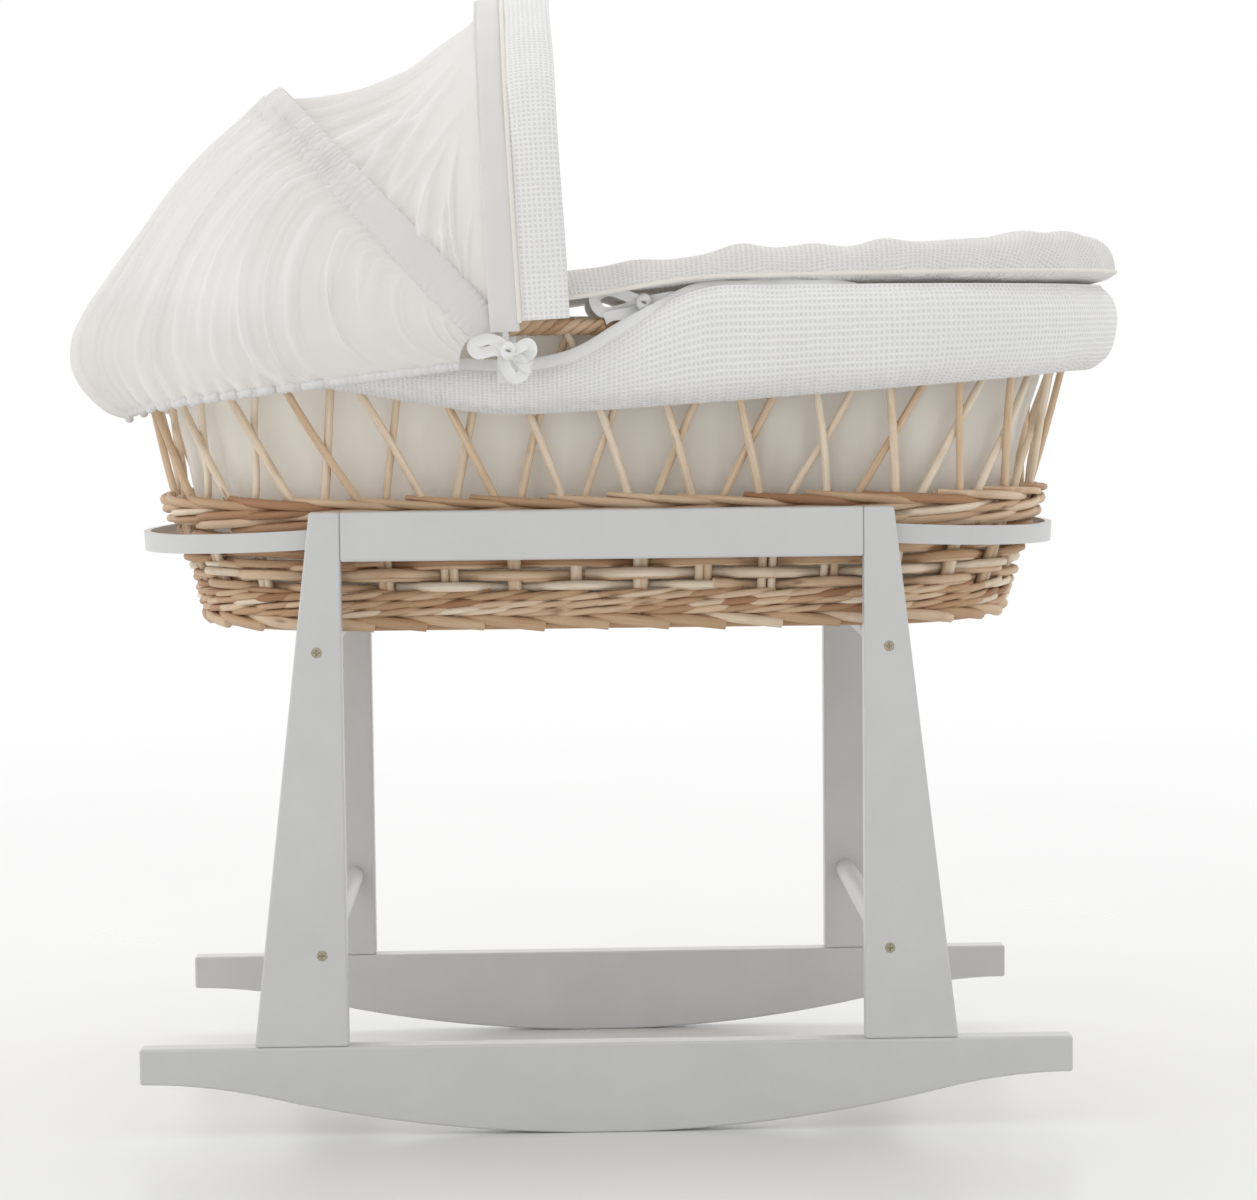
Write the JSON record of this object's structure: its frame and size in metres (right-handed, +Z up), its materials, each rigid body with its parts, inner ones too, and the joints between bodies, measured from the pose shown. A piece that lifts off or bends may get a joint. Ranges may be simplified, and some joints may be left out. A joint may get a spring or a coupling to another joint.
{
  "type": "bassinet on stand",
  "caption": "Oval wicker bassinet with a padded skirt, quilt and folding fabric hood, resting on a white wooden rocking stand.",
  "frame": {"origin": "on the floor, at the middle of the stand", "axes": "+X towards the foot end of the basket, +Y from the front to the back side frame, +Z up"},
  "size_m": [0.9674, 0.5492, 1.0114],
  "materials": {
    "painted_wood": "satin white paint",
    "beech": "bare",
    "screw_steel": "yellow zinc plated",
    "willow": "bare peeled willow",
    "cotton": "plain woven cotton",
    "mattress_cover": "quilted cover",
    "waffle_cotton": "padded waffle weave",
    "cotton_binding": "smooth bias binding",
    "webbing": "woven tape",
    "ribbon": "cotton tape",
    "rivet_metal": "plated",
    "bow_plastic": "natural",
    "quilt_cotton": "padded waffle weave with smooth lining"
  },
  "bodies": {
    "stand": {"front_rocker": "painted_wood", "back_rocker": "painted_wood", "front_head_leg": "painted_wood", "front_foot_leg": "painted_wood", "back_head_leg": "painted_wood", "back_foot_leg": "painted_wood", "front_rail": "painted_wood", "back_rail": "painted_wood", "head_hoop": "painted_wood", "foot_hoop": "painted_wood", "lower_head_dowel": "painted_wood", "lower_foot_dowel": "painted_wood", "upper_head_dowel": "painted_wood", "upper_foot_dowel": "painted_wood", "frame_screws": "screw_steel", "hoop_screws": "screw_steel", "wooden_pegs": "beech"},
    "basket": {"woven_base": "willow", "foot_border": "willow", "lower_weave": "willow", "left_leaning_stakes": "willow", "right_leaning_stakes": "willow", "upper_wale": "willow", "rim_border": "willow", "liner": "cotton", "mattress": "mattress_cover", "padded_skirt": "waffle_cotton", "skirt_binding": "cotton_binding", "hood_tabs": "webbing", "hood_rivets": "rivet_metal", "hood_ties": "ribbon", "hood_hem": "cotton"},
    "hood_rear": {"rear_bow": "bow_plastic", "rear_bow_casing": "cotton", "hood_rear_panel": "cotton"},
    "hood_front": {"front_bow": "bow_plastic", "front_bow_casing": "cotton", "hood_front_panel": "cotton", "hood_border": "waffle_cotton"},
    "quilt": {"quilt": "quilt_cotton"}
  },
  "joints": [
    {"name": "basket_lift", "type": "slide", "parent": "stand", "child": "basket", "axis": [0, 0, 1], "range_m": [0, 0.3]},
    {"name": "hood_fold", "type": "hinge", "parent": "basket", "child": "hood_rear", "pos_m": [-0.08, 0, 0.688], "axis": [0, -1, 0], "range_deg": [0, 24], "deforming": ["hood_rear_panel", "hood_front_panel"]},
    {"name": "hood_tilt", "type": "hinge", "parent": "hood_rear", "child": "hood_front", "pos_m": [-0.08, 0, 0.688], "axis": [0, -1, 0], "range_deg": [0, 28], "deforming": ["hood_front_panel"]},
    {"name": "quilt_lift", "type": "slide", "parent": "basket", "child": "quilt", "axis": [0.6, 0, 0.8], "range_m": [0, 0.25]}
  ],
  "couplings": [
    {"joint": "hood_tilt", "follows": "hood_fold", "ratio": 1.1667}
  ]
}
